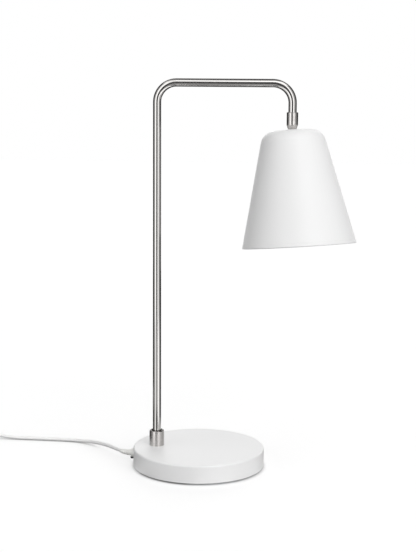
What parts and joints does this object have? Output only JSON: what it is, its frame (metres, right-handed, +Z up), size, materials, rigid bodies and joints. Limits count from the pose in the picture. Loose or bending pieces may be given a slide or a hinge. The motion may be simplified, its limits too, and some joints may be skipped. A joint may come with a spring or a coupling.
{
  "type": "swing arm desk lamp",
  "caption": "Desk lamp with a round weighted base, a bent tube arm that swings in its foot, and a conical shade on a friction ball swivel.",
  "frame": {"origin": "centre of the base's underside, on the table", "axes": "+Z up, +X from the pole towards the shade at rest, -Y the side that the shade leans to"},
  "size_m": [0.6111, 0.1681, 0.47],
  "materials": {
    "base_paint": "satin white powder coat",
    "cast_iron": "as cast",
    "zinc_plate": "bright zinc plate",
    "sheet_steel": "zinc-coated sheet",
    "eva_foam": "fine foam",
    "brushed_steel": "brushed",
    "polished_steel": "polished",
    "brass": "plain",
    "white_plastic": "fine satin",
    "ivory_plastic": "moulded",
    "cord_white": "satin",
    "core_brown": "satin",
    "dark_plastic": "moulded",
    "nickel_plate": "bright nickel",
    "shade_paint": "satin white powder coat"
  },
  "bodies": {
    "base": {"base_cover": "base_paint", "base_weight": "cast_iron", "weight_nuts": "zinc_plate", "plate_screws": "zinc_plate", "collar_nut": "zinc_plate", "clamp_screws": "zinc_plate", "switch_screws": "zinc_plate", "bottom_plate": "sheet_steel", "foot_pad": "eva_foam", "pole_collar": "brushed_steel", "strain_relief": "white_plastic", "switch_bottom": "white_plastic", "switch_top": "white_plastic", "plug_body": "white_plastic", "cord_clamp": "ivory_plastic", "clamp_bar": "ivory_plastic", "wire_caps": "ivory_plastic", "base_lead": "cord_white", "cord_lead": "cord_white", "cord_link": "cord_white", "cord_tail": "cord_white", "cord_coil": "cord_white", "base_cores": "core_brown", "coil_tie": "dark_plastic", "pin_sleeves": "dark_plastic", "plug_pins": "nickel_plate"},
    "arm": {"lamp_tube": "brushed_steel", "foot_nipple": "brass", "wave_washer": "zinc_plate", "tab_washer": "zinc_plate", "foot_nut": "zinc_plate", "tube_cable": "cord_white", "drop_cores": "core_brown", "end_nipple": "brass", "swivel_nut": "zinc_plate", "swivel_washer": "zinc_plate"},
    "swivel": {"swivel_cup": "brushed_steel", "swivel_hub": "brushed_steel", "ball_seat": "ivory_plastic", "seat_spring": "zinc_plate"},
    "head": {"ball_stem": "polished_steel", "shade": "shade_paint", "shade_washer": "zinc_plate", "shade_nut": "zinc_plate", "holder_cap": "white_plastic", "holder_barrel": "white_plastic", "holder_contacts": "brass", "holder_screws": "zinc_plate", "head_cores": "core_brown"},
    "rocker": {"switch_rocker": "white_plastic"}
  },
  "joints": [
    {"name": "arm_swing", "type": "hinge", "parent": "base", "child": "arm", "pos_m": [-0.052, 0, 0.02], "axis": [0, 0, 1], "range_deg": [-90, 90]},
    {"name": "head_swivel", "type": "hinge", "parent": "arm", "child": "swivel", "pos_m": [0.108, 0, 0.4155], "axis": [0, 0, 1], "range_deg": [-170, 170]},
    {"name": "head_tilt", "type": "hinge", "parent": "swivel", "child": "head", "pos_m": [0.108, 0, 0.4155], "axis": [-0.788, -0.6157, 0], "range_deg": [-28, 13]},
    {"name": "rocker_press", "type": "hinge", "parent": "base", "child": "rocker", "pos_m": [-0.318, 0.075, 0.0123], "axis": [0, 1, 0], "range_deg": [-14, 0]}
  ]
}
